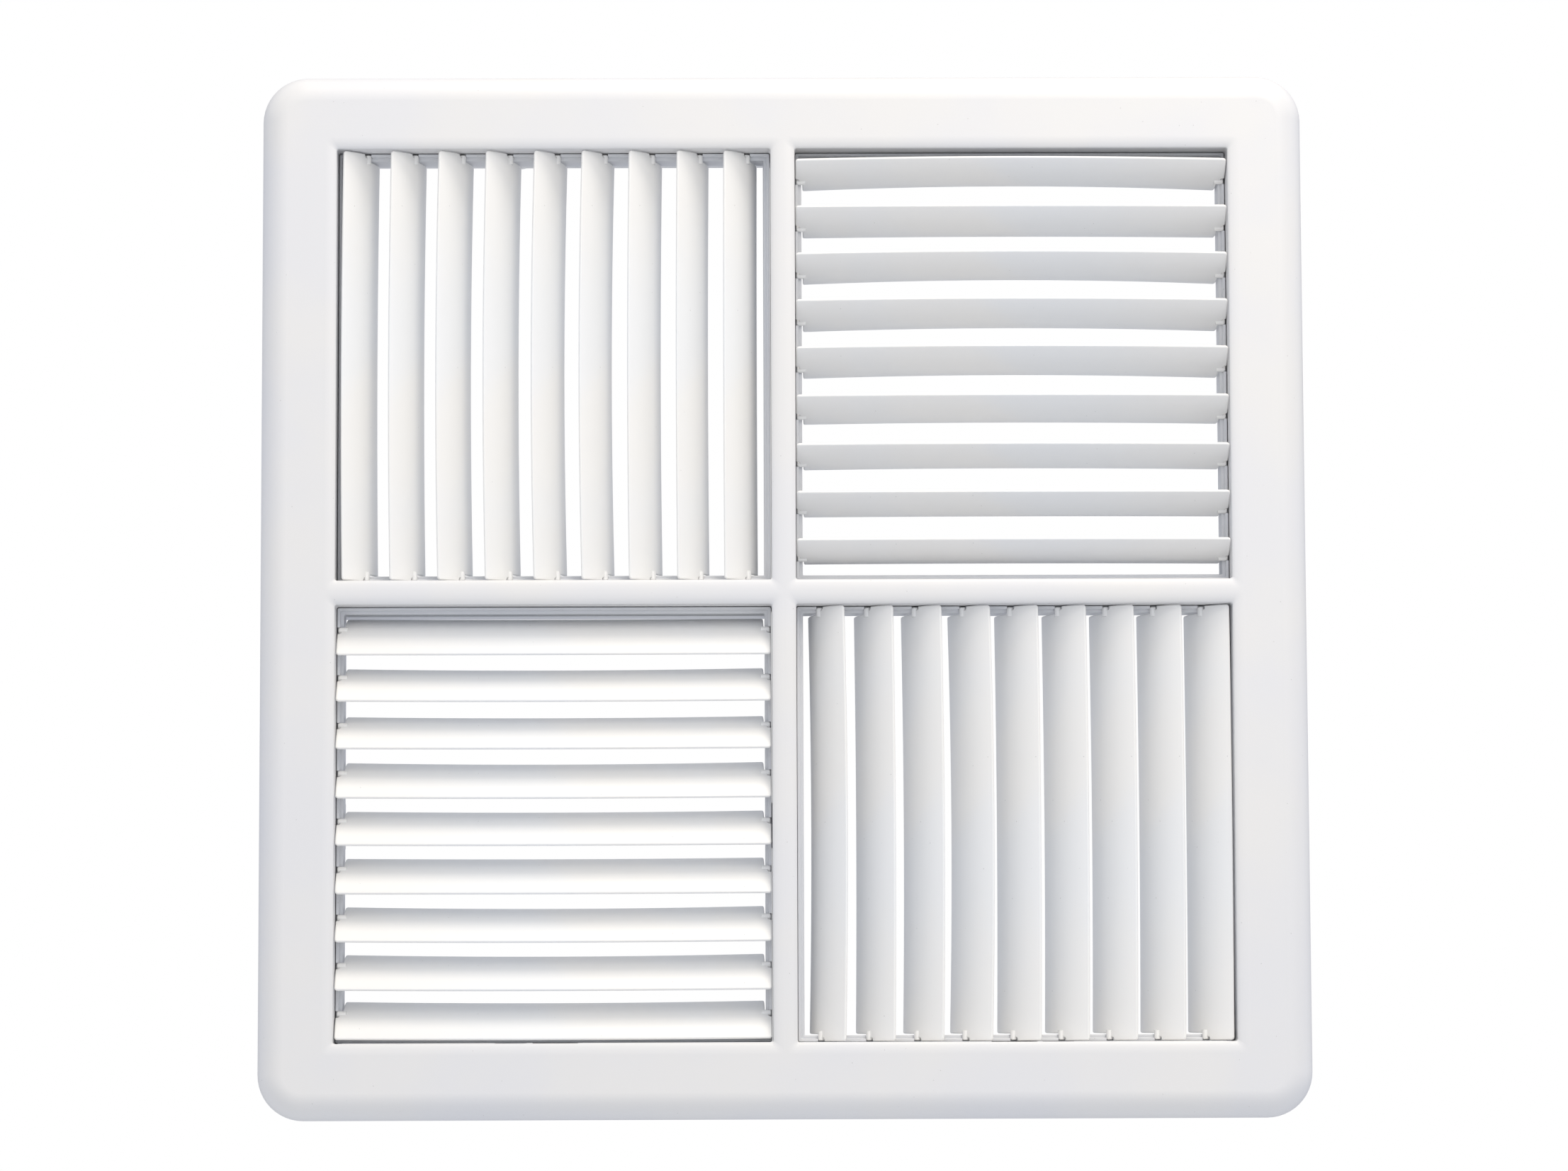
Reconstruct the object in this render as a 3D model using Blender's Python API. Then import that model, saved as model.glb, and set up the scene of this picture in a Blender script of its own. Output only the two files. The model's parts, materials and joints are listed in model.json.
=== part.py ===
"""Square four-way ceiling air diffuser, moulded in white ABS.

Metres, +Z up into the ceiling void. The origin is the centre of the flange's back plane, which
lies against the ceiling, so the face looks down along -Z. "Front" is -Y and "left" is -X.
"""
from math import cos, pi, radians, sin

import bmesh
import bpy
from mathutils import Matrix, Vector

MM = 0.001

# Flange and neck collar of the face frame
FLANGE_HALF = 230 * MM
FLANGE_CORNER = 20 * MM
RIM_RADIUS = 12 * MM
FACE_Z = -14 * MM
SKIN = 2.5 * MM
COLLAR_TOP = 36 * MM
COLLAR_CORNER = 3 * MM

# Openings, cross bars and stops
OPENING_HALF = 95.65 * MM
CORE_OFFSET = 101 * MM
LIP_RADIUS = 2.5 * MM
BAR_WALL = 2 * MM
BAR_TOP = 19 * MM
WEB = 1.5 * MM
WEB_PLACES = (6 * MM, 68 * MM, 132 * MM)
STOP_DEPTH = 3 * MM
STOP_WIDTH = 20 * MM
STOP_THICKNESS = 2 * MM

# Back ribs and ceiling seal
RIB_PLACES = (-180 * MM, -108 * MM, -36 * MM, 36 * MM, 108 * MM, 180 * MM)
RIB_TOP = -3 * MM
SEAL_INNER = 199.7 * MM
SEAL_OUTER = 212.5 * MM
SEAL_CORNER = 4 * MM

# Core frames: depths are measured inwards from the face
CORE_GAP = 0.3 * MM
CORE_WALL = 2.8 * MM
LEDGE_DEPTH = 12.6 * MM
CORE_DEPTH = 29.5 * MM
FAR_WALL_DEPTH = 41.6 * MM

# Blades: a circular arc that turns on a pin at its middle
BLADES = 9
BLADE_PITCH = 21 * MM
FIRST_PIN = 12.9 * MM
PIN_DEPTH = 13.7 * MM
ARC_RADIUS = 28 * MM
ARC_HALF_ANGLE = radians(30)
BLADE_THICKNESS = 1.5 * MM
BLADE_WIDE_HALF = 95.25 * MM
BLADE_NARROW_HALF = 92.1 * MM
SHOULDER = 2.6 * MM
PIN_RADIUS = 1.5 * MM
PIN_END = 94.8 * MM
SLOT_RADIUS = 1.8 * MM

# Collar screws, two through the front and two through the back of the collar
SCREW_HEIGHT = 26 * MM
SCREW_SPREAD = 121 * MM
SCREW_HEAD = 4 * MM
SCREW_SHANK = 1.9 * MM
SCREW_CONE = 2.2 * MM
SCREW_LENGTH = 16 * MM
SCREW_TIP = 3 * MM
RECESS_REACH = 2.2 * MM
RECESS_HALF = 0.5 * MM
RECESS_DEPTH = 1.4 * MM
PAD_RADIUS = 7 * MM
PAD_PROUD = 1.2 * MM

# Each core's name, place, quarter turns about Z, and the degrees each blade is set to: the angle
# between the blade and the face, from the blade on the side the air is thrown to
CORES = (
    ("front_left", (-1, -1), 0, (61, 61, 61, 60, 62, 62, 61, 62, 60)),
    ("front_right", (1, -1), 1, (71, 70, 70, 69, 69, 71, 74, 74, 74)),
    ("back_right", (1, 1), 2, (51, 51, 51, 51, 51, 52, 54, 55, 58)),
    ("back_left", (-1, 1), 3, (55, 57, 57, 56, 57, 55, 58, 57, 53)),
)

COLLAR_INNER = CORE_OFFSET + OPENING_HALF
COLLAR_OUTER = COLLAR_INNER + SKIN
CORE_OUTER = OPENING_HALF - CORE_GAP
CORE_INNER = CORE_OUTER - CORE_WALL
BAR_HALF = CORE_OFFSET - OPENING_HALF
CORE_TOP = FACE_Z + CORE_DEPTH
CLEAR = 20 * MM
OVERLAP = 1 * MM


def finish(name, colour, roughness, metallic=0.0):
    """Return a Principled material."""
    material = bpy.data.materials.new(name)
    material.use_nodes = True
    shader = material.node_tree.nodes["Principled BSDF"]
    shader.inputs["Base Color"].default_value = (*colour, 1)
    shader.inputs["Roughness"].default_value = roughness
    shader.inputs["Metallic"].default_value = metallic
    return material


def add_object(name, mesh, material=None):
    """Link a mesh as an object, with its material."""
    item = bpy.data.objects.new(name, mesh)
    bpy.context.scene.collection.objects.link(item)
    if material:
        mesh.materials.append(material)
    return item


def finish_mesh(name, mesh_work):
    """Turn bmesh work into a mesh with its faces pointing out."""
    bmesh.ops.recalc_face_normals(mesh_work, faces=mesh_work.faces)
    mesh = bpy.data.meshes.new(name)
    mesh_work.to_mesh(mesh)
    mesh_work.free()
    return mesh


def square_ring(mesh_work, half, corner, height, steps=5):
    """Add the vertices of one level rounded square, and return them in order."""
    ring = []
    for quarter in range(4):
        turn = quarter * pi / 2
        middle = Matrix.Rotation(turn, 2) @ Vector((half - corner, half - corner))
        for step in range(steps + 1):
            angle = turn + step * pi / 2 / steps
            x = middle.x + corner * cos(angle)
            y = middle.y + corner * sin(angle)
            ring.append(mesh_work.verts.new((x, y, height)))
    return ring


def skin_rings(mesh_work, rings, closed=False):
    """Join each ring to the next with quads, and cap both ends unless the loft is closed."""
    pairs = list(zip(rings, rings[1:]))
    if closed:
        pairs.append((rings[-1], rings[0]))
    for low, high in pairs:
        for here in range(len(low)):
            after = (here + 1) % len(low)
            mesh_work.faces.new((low[here], low[after], high[after], high[here]))
    if not closed:
        mesh_work.faces.new(rings[0])
        mesh_work.faces.new(rings[-1])


def box_mesh(name, low, high):
    """Return a box between two corners."""
    mesh_work = bmesh.new()
    size = Vector(high) - Vector(low)
    middle = (Vector(high) + Vector(low)) / 2
    placing = Matrix.Translation(middle) @ Matrix.Diagonal((*size, 1))
    bmesh.ops.create_cube(mesh_work, size=1, matrix=placing)
    return finish_mesh(name, mesh_work)


def guide_group(name, meshes):
    """Put meshes in a collection of hidden guides, for a Boolean to work on together."""
    group = bpy.data.collections.new(name)
    bpy.context.scene.collection.children.link(group)
    for number, mesh in enumerate(meshes, 1):
        item = bpy.data.objects.new(f"{name}_guide_{number}", mesh)
        item.hide_render = True
        item.display_type = "WIRE"
        group.objects.link(item)
    return group


def boolean(item, operation, group):
    """Cut or join a group of guides with the exact solver."""
    modifier = item.modifiers.new(group.name, "BOOLEAN")
    modifier.operation = operation
    modifier.operand_type = "COLLECTION"
    modifier.collection = group
    modifier.solver = "EXACT"


def baked(item, name):
    """Return the mesh that an object's modifiers make, and remove the object."""
    graph = bpy.context.evaluated_depsgraph_get()
    mesh = bpy.data.meshes.new_from_object(item.evaluated_get(graph))
    mesh.name = name
    bpy.data.objects.remove(item)
    return mesh


def rim_arc(radius, steps):
    """Return (half width, height) points from the back plane round the rim to the face side."""
    middle_x = FLANGE_HALF - RIM_RADIUS
    middle_z = FACE_Z + RIM_RADIUS
    return [(middle_x + radius * cos(step * pi / 2 / steps),
             middle_z - radius * sin(step * pi / 2 / steps)) for step in range(steps + 1)]


def frame_blank():
    """The flange as a hollow-backed pan, with a solid neck block inside the collar's outside."""
    mesh_work = bmesh.new()
    outside = [(FLANGE_HALF, 0)] + rim_arc(RIM_RADIUS, 5)
    inside = [(FLANGE_HALF - SKIN, 0)] + rim_arc(RIM_RADIUS - SKIN, 4)
    corner_centre = FLANGE_HALF - FLANGE_CORNER
    rings = [square_ring(mesh_work, half, half - corner_centre, z) for half, z in reversed(outside)]
    rings += [square_ring(mesh_work, half, half - corner_centre, z) for half, z in inside]
    for height in (FACE_Z + SKIN, COLLAR_TOP):
        rings.append(square_ring(mesh_work, COLLAR_OUTER, COLLAR_CORNER, height))
    skin_rings(mesh_work, rings)
    return finish_mesh("face_frame", mesh_work)


def back_rib(place, quarter):
    """One upright rib across the flange's back, from the collar to the rim."""
    mesh_work = bmesh.new()
    outline = [(COLLAR_OUTER - OVERLAP, FACE_Z + SKIN / 2)]
    outline += list(reversed(rim_arc(RIM_RADIUS - SKIN / 2, 4)))
    outline[-1] = (outline[-1][0], RIB_TOP)
    outline.append((COLLAR_OUTER - OVERLAP, RIB_TOP))
    sides = []
    for side in (-WEB / 2, WEB / 2):
        sides.append([mesh_work.verts.new((x, place + side, z)) for x, z in outline])
    skin_rings(mesh_work, sides)
    mesh_work.transform(Matrix.Rotation(quarter * pi / 2, 4, "Z"))
    return finish_mesh("back_rib", mesh_work)


def seal_wall():
    """The low wall that locates the foam strip round the collar."""
    mesh_work = bmesh.new()
    rings = []
    for half, z in ((SEAL_OUTER + CORE_GAP, FACE_Z + SKIN / 2), (SEAL_OUTER + CORE_GAP, RIB_TOP + WEB),
                    (SEAL_OUTER + CORE_GAP + WEB, RIB_TOP + WEB),
                    (SEAL_OUTER + CORE_GAP + WEB, FACE_Z + SKIN / 2)):
        rings.append(square_ring(mesh_work, half, SEAL_CORNER, z, 3))
    skin_rings(mesh_work, rings, closed=True)
    return finish_mesh("seal_wall", mesh_work)


def pocket(place):
    """One opening: a square well with a flared, rounded lip at the face."""
    mesh_work = bmesh.new()
    centre = (place[0] * CORE_OFFSET, place[1] * CORE_OFFSET)
    levels = [(OPENING_HALF + LIP_RADIUS, FACE_Z - CLEAR)]
    for step in range(4):
        angle = step * pi / 6
        levels.append((OPENING_HALF + LIP_RADIUS * (1 - sin(angle)),
                       FACE_Z + LIP_RADIUS * (1 - cos(angle))))
    levels.append((OPENING_HALF, COLLAR_TOP + CLEAR))
    rings = []
    for half, height in levels:
        corners = ((half, half), (-half, half), (-half, -half), (half, -half))
        rings.append([mesh_work.verts.new((centre[0] + x, centre[1] + y, height)) for x, y in corners])
    skin_rings(mesh_work, rings)
    return finish_mesh("pocket", mesh_work)


def bar_hollows():
    """The hollows in the back of the cross bars, between their webs."""
    hollows = []
    half = BAR_HALF - BAR_WALL
    ends = list(WEB_PLACES[1:]) + [COLLAR_INNER]
    for quarter in range(4):
        for start, end in zip(WEB_PLACES, ends):
            mesh = box_mesh("bar_hollow", (start + WEB / 2, -half, FACE_Z + SKIN),
                            (end - WEB / 2, half, COLLAR_TOP + CLEAR))
            mesh.transform(Matrix.Rotation(quarter * pi / 2, 4, "Z"))
            hollows.append(mesh)
    return hollows


def core_stops():
    """A ledge on each opening wall but the one beside a core's far wall, for its ring to push up to."""
    stops = []
    low_z = CORE_TOP + CORE_GAP
    for name, place, quarter, tilts in CORES:
        for side in range(1, 4):
            mesh = box_mesh("core_stop", (OPENING_HALF - STOP_DEPTH, -STOP_WIDTH / 2, low_z),
                            (OPENING_HALF + BAR_WALL / 2, STOP_WIDTH / 2, low_z + STOP_THICKNESS))
            turned = Matrix.Rotation((quarter + side) * pi / 2, 4, "Z")
            shifted = Matrix.Translation((place[0] * CORE_OFFSET, place[1] * CORE_OFFSET, 0))
            mesh.transform(shifted @ turned)
            stops.append(mesh)
    return stops


def turned_mesh(name, profile, steps=12):
    """Spin (radius, distance) points about X into a closed body, points on the axis shared."""
    mesh_work = bmesh.new()
    rings = []
    for radius, along in profile:
        if radius == 0:
            rings.append([mesh_work.verts.new((along, 0, 0))])
            continue
        turns = [2 * pi * step / steps for step in range(steps)]
        rings.append([mesh_work.verts.new((along, radius * cos(turn), radius * sin(turn)))
                      for turn in turns])
    for first, second in zip(rings, rings[1:]):
        for here in range(steps):
            after = (here + 1) % steps
            corners = [first[here % len(first)], first[after % len(first)],
                       second[after % len(second)], second[here % len(second)]]
            mesh_work.faces.new(list(dict.fromkeys(corners)))
    return finish_mesh(name, mesh_work)


def screw_places():
    """Return each collar screw's placing: on its pad, with its own X axis out through the collar."""
    placings = []
    for quarter in (1, 3):
        for side in (-SCREW_SPREAD, SCREW_SPREAD):
            turned = Matrix.Rotation(quarter * pi / 2, 4, "Z")
            placings.append(turned @ Matrix.Translation((COLLAR_INNER - PAD_PROUD, side, SCREW_HEIGHT)))
    return placings


def face_frame(material):
    """Flange, cross bars, pocket walls and collar in one moulding."""
    frame = add_object("face_frame", frame_blank(), material)
    additions = [back_rib(place, quarter) for quarter in range(4) for place in RIB_PLACES]
    additions.append(seal_wall())
    pads = []
    holes = []
    gap = CORE_GAP
    pad_root = PAD_PROUD + SKIN / 2
    for placing in screw_places():
        pad = turned_mesh("screw_pad", ((0, 0), (PAD_RADIUS, 0), (PAD_RADIUS, pad_root), (0, pad_root)))
        pad.transform(placing)
        pads.append(pad)
        hole = turned_mesh("screw_hole", ((0, -CLEAR), (SCREW_HEAD + gap, -CLEAR),
                                          (SCREW_HEAD + gap, gap),
                                          (SCREW_SHANK + gap, gap + SCREW_CONE),
                                          (SCREW_SHANK + gap, CLEAR), (0, CLEAR)))
        hole.transform(placing)
        holes.append(hole)
    room = box_mesh("room", (-COLLAR_INNER, -COLLAR_INNER, BAR_TOP),
                    (COLLAR_INNER, COLLAR_INNER, COLLAR_TOP + CLEAR))
    pockets = [pocket(place) for name, place, quarter, tilts in CORES]
    boolean(frame, "UNION", guide_group("back_ribs_and_seal_wall", additions))
    boolean(frame, "DIFFERENCE", guide_group("openings", pockets + bar_hollows() + [room]))
    boolean(frame, "UNION", guide_group("stops_and_pads", core_stops() + pads))
    boolean(frame, "DIFFERENCE", guide_group("screw_holes", holes))
    return frame


def core_ring_mesh():
    """The square ring that carries nine blades: a deep far wall, and a snap slot for every pin."""
    mesh_work = bmesh.new()
    low = FACE_Z + LEDGE_DEPTH
    rings = []
    for half, height in ((CORE_OUTER, low), (CORE_OUTER, CORE_TOP), (CORE_INNER, CORE_TOP),
                         (CORE_INNER, low)):
        corners = ((half, half), (-half, half), (-half, -half), (half, -half))
        rings.append([mesh_work.verts.new((x, y, height)) for x, y in corners])
    skin_rings(mesh_work, rings, closed=True)
    ring = add_object("core_ring", finish_mesh("core_ring", mesh_work))
    slots = []
    for number in range(BLADES):
        slot = turned_mesh("pin_slot", ((0, -OPENING_HALF - CLEAR), (SLOT_RADIUS, -OPENING_HALF - CLEAR),
                                        (SLOT_RADIUS, OPENING_HALF + CLEAR),
                                        (0, OPENING_HALF + CLEAR)), 10)
        turned = Matrix.Rotation(pi / 2, 4, "Z")
        slot.transform(Matrix.Translation((pin_x(number), 0, FACE_Z + PIN_DEPTH)) @ turned)
        slots.append(slot)
    far_wall = box_mesh("far_wall", (CORE_INNER, -CORE_OUTER, CORE_TOP - OVERLAP),
                        (CORE_OUTER, CORE_OUTER, FACE_Z + FAR_WALL_DEPTH))
    boolean(ring, "UNION", guide_group("far_walls", [far_wall]))
    boolean(ring, "DIFFERENCE", guide_group("pin_slots", slots))
    return baked(ring, "core_frame")


def pin_x(number):
    """Where a blade's pin sits across its core, from the side the air is thrown to."""
    return -OPENING_HALF + FIRST_PIN + number * BLADE_PITCH


def blade_point(along, across, side):
    """A point of the untilted blade: arc length from the pin, place on its length, face."""
    angle = along / ARC_RADIUS
    radius = ARC_RADIUS + side * BLADE_THICKNESS / 2
    return (-radius * sin(angle), across, ARC_RADIUS - radius * cos(angle))


def blade_mesh():
    """A curved blade, narrower behind its shoulders, with a pin moulded on each end."""
    mesh_work = bmesh.new()
    reach = ARC_RADIUS * ARC_HALF_ANGLE
    front = [reach - step * (reach - SHOULDER) / 3 for step in range(4)]
    rear = [SHOULDER - step * (reach + SHOULDER) / 4 for step in range(5)]
    wide, narrow = BLADE_WIDE_HALF, BLADE_NARROW_HALF
    sides = {}
    for side in (1, -1):
        rows = []
        for along in front:
            rows.append([mesh_work.verts.new(blade_point(along, y, side)) for y in (-wide, wide)])
        for along in rear:
            rows.append([mesh_work.verts.new(blade_point(along, y, side)) for y in (-narrow, narrow)])
        sides[side] = rows
        for first, second in zip(rows[:3], rows[1:3]):
            mesh_work.faces.new((*first, *reversed(second)))
        mesh_work.faces.new((*rows[2], rows[3][1], rows[4][1], rows[4][0], rows[3][0]))
        for first, second in zip(rows[4:], rows[5:]):
            mesh_work.faces.new((*first, *reversed(second)))
    for end in (0, 1):
        for here in range(len(front) + len(rear) - 1):
            mesh_work.faces.new((sides[1][here][end], sides[1][here + 1][end],
                                 sides[-1][here + 1][end], sides[-1][here][end]))
    for row in (0, -1):
        mesh_work.faces.new((*sides[1][row], *reversed(sides[-1][row])))
    blade = add_object("blade", finish_mesh("blade", mesh_work))
    pins = []
    for end in (-1, 1):
        pin = turned_mesh("pin", ((0, BLADE_NARROW_HALF - OVERLAP), (PIN_RADIUS, BLADE_NARROW_HALF - OVERLAP),
                                  (PIN_RADIUS, PIN_END), (0, PIN_END)), 8)
        pin.transform(Matrix.Rotation(end * pi / 2, 4, "Z"))
        pins.append(pin)
    boolean(blade, "UNION", guide_group("blade_pins", pins))
    return baked(blade, "blade")


def cores_and_blades(material):
    """Four core frames on their slide axes, each with nine blades on their pin axes."""
    ring_mesh = core_ring_mesh()
    vane_mesh = blade_mesh()
    for mesh in (ring_mesh, vane_mesh):
        mesh.materials.clear()
        mesh.materials.append(material)
    vane_mesh.shade_smooth()
    vane_mesh.set_sharp_from_angle(angle=radians(35))
    for name, place, quarter, tilts in CORES:
        core = add_object(f"{name}_core_frame", ring_mesh)
        core.location = (place[0] * CORE_OFFSET, place[1] * CORE_OFFSET, 0)
        core.rotation_euler.z = quarter * pi / 2
        for number, tilt in enumerate(tilts):
            blade = add_object(f"{name}_blade_{number + 1}", vane_mesh)
            blade.parent = core
            blade.location = (pin_x(number), 0, FACE_Z + PIN_DEPTH)
            blade.rotation_euler.y = -radians(tilt)


def collar_screws(material):
    """Four countersunk screws out through the collar, with a cross recess in each head."""
    profile = ((0, CORE_GAP), (SCREW_HEAD, CORE_GAP), (SCREW_SHANK, CORE_GAP + SCREW_CONE),
               (SCREW_SHANK, SCREW_LENGTH - SCREW_TIP), (0, SCREW_LENGTH))
    screw = add_object("screw", turned_mesh("screw", profile))
    arms = []
    for across, up in ((RECESS_REACH, RECESS_HALF), (RECESS_HALF, RECESS_REACH)):
        arms.append(box_mesh("recess_arm", (-RECESS_DEPTH, -across, -up), (RECESS_DEPTH, across, up)))
    boolean(screw, "DIFFERENCE", guide_group("cross_recess", arms))
    mesh = baked(screw, "collar_screw")
    mesh.materials.clear()
    mesh.materials.append(material)
    for number, placing in enumerate(screw_places(), 1):
        item = add_object(f"collar_screw_{number}", mesh)
        item.matrix_world = placing


def ceiling_seal(material):
    """The square foam strip between the collar and the seal wall, flush with the back plane."""
    mesh_work = bmesh.new()
    rings = []
    low = RIB_TOP + CORE_GAP
    for half, height in ((SEAL_OUTER, low), (SEAL_OUTER, 0), (SEAL_INNER, 0), (SEAL_INNER, low)):
        rings.append(square_ring(mesh_work, half, SEAL_CORNER, height, 3))
    skin_rings(mesh_work, rings, closed=True)
    return add_object("ceiling_seal", finish_mesh("ceiling_seal", mesh_work), material)


def main():
    """Clear the scene and build the diffuser."""
    for item in list(bpy.data.objects):
        bpy.data.objects.remove(item)
    face_frame(finish("white_abs_frame", (0.83, 0.83, 0.82), 0.45))
    cores_and_blades(finish("white_abs_core", (0.82, 0.82, 0.81), 0.42))
    collar_screws(finish("zinc_plated_steel", (0.62, 0.63, 0.65), 0.35, 1.0))
    ceiling_seal(finish("grey_foam", (0.08, 0.08, 0.085), 0.9))


main()
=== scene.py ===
"""White ABS four-way ceiling air diffuser: its finished pieces, their materials and the studio.

Metres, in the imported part's own frame: the ceiling is the plane z = 0, the face looks down along
-Z, "front" is -Y and "left" is -X.
"""
import json
import logging
from dataclasses import dataclass
from enum import Enum
from math import atan2, cos, pi, radians, sin, tau
from typing import Any, Optional, Sequence

import bmesh
import bpy
from mathutils import Matrix, Vector, noise

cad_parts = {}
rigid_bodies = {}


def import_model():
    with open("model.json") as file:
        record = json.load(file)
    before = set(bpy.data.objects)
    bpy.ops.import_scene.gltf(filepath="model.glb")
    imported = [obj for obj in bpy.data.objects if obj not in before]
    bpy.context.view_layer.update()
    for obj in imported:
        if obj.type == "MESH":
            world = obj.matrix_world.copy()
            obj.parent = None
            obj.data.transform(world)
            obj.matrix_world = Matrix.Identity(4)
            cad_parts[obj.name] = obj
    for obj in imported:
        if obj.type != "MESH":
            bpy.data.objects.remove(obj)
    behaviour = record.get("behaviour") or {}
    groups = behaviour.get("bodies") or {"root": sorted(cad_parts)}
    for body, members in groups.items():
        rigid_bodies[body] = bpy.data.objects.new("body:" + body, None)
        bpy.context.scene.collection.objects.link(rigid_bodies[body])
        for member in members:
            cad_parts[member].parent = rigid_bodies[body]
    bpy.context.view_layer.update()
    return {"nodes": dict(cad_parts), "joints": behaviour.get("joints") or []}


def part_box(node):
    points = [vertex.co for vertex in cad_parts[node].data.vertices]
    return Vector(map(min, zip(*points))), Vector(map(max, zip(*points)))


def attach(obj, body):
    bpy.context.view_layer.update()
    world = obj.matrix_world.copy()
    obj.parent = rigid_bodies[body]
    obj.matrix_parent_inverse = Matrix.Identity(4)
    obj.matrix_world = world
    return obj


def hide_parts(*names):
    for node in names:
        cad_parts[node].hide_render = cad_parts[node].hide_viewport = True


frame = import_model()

MM = 0.001
# How far a cutter runs past the solid that it cuts.
CLEAR = 20 * MM
# How far a joined shape reaches into the solid that it joins.
OVERLAP = 1 * MM
# Edges steeper than this stay crisp, and edges steeper than the next are rounded by the mould.
SHARP_ANGLE = radians(38)
MOULDED_EDGE_ANGLE = radians(45)
# How far apart two points may be and still count as one.
SAME_POINT = 1e-7
# How strongly large faces win when the shading is evened out, from 1 to 100.
LARGE_FACE_WEIGHT = 80

log = logging.getLogger("diffuser")

# Two measures of one point of a profile: a half width or radius, and a height or distance.
Level = tuple[float, float]


class Core(Enum):
    """The four blade cores: name, place across and along the face, quarter turns about Z."""

    FRONT_LEFT = ("front_left", (-1, -1), 0)
    FRONT_RIGHT = ("front_right", (1, -1), 1)
    BACK_RIGHT = ("back_right", (1, 1), 2)
    BACK_LEFT = ("back_left", (-1, 1), 3)

    @property
    def label(self) -> str:
        """The core's name in the part."""
        return self.value[0]

    @property
    def turn(self) -> Matrix:
        """The turn from a core whose blades throw to -X."""
        return Matrix.Rotation(self.value[2] * pi / 2, 4, "Z")

    def centre(self, offset: float) -> Vector:
        """The centre of the core on the ceiling plane."""
        return Vector((self.value[1][0] * offset, self.value[1][1] * offset, 0))


class Carve(Enum):
    """What a Boolean does with a group of shapes."""

    JOIN = "UNION"
    CUT = "DIFFERENCE"


# ---------------------------------------------------------------- materials

def linear(code: str) -> tuple[float, float, float, float]:
    """Turn an sRGB hex colour into linear RGBA.

    Args:
        code: The colour, such as "#f0efec".

    Returns:
        The four linear channels, with alpha 1.
    """
    channels = []
    for start in (1, 3, 5):
        value = int(code[start:start + 2], 16) / 255
        channels.append(value / 12.92 if value <= 0.04045 else ((value + 0.055) / 1.055) ** 2.4)
    return (*channels, 1.0)


def add_node(tree: bpy.types.NodeTree, kind: str, values: Optional[dict[Any, Any]] = None,
             links: Optional[dict[Any, bpy.types.NodeSocket]] = None,
             **settings: Any) -> bpy.types.Node:
    """Add a shader node with its settings and links.

    Args:
        tree: The node tree that gets the node.
        kind: Blender's name for the type of node.
        values: Input values by socket name or number.
        links: Sockets that feed this node's inputs, by socket name or number.
        settings: Properties of the node itself.

    Returns:
        The new node.
    """
    made = tree.nodes.new(kind)
    for name, value in settings.items():
        setattr(made, name, value)
    for socket, value in (values or {}).items():
        made.inputs[socket].default_value = value
    for socket, source in (links or {}).items():
        tree.links.new(source, made.inputs[socket])
    return made


def blank_material(name: str) -> tuple[bpy.types.Material, bpy.types.Node, bpy.types.NodeSocket]:
    """Start a material that holds a Principled shader and the piece's own coordinates.

    Args:
        name: The material's name.

    Returns:
        The material, its shader node, and the coordinates' socket, in metres.
    """
    material = bpy.data.materials.new(name)
    material.use_nodes = True
    shader = material.node_tree.nodes["Principled BSDF"]
    place = add_node(material.node_tree, "ShaderNodeTexCoord")
    return material, shader, place.outputs["Object"]


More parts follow.
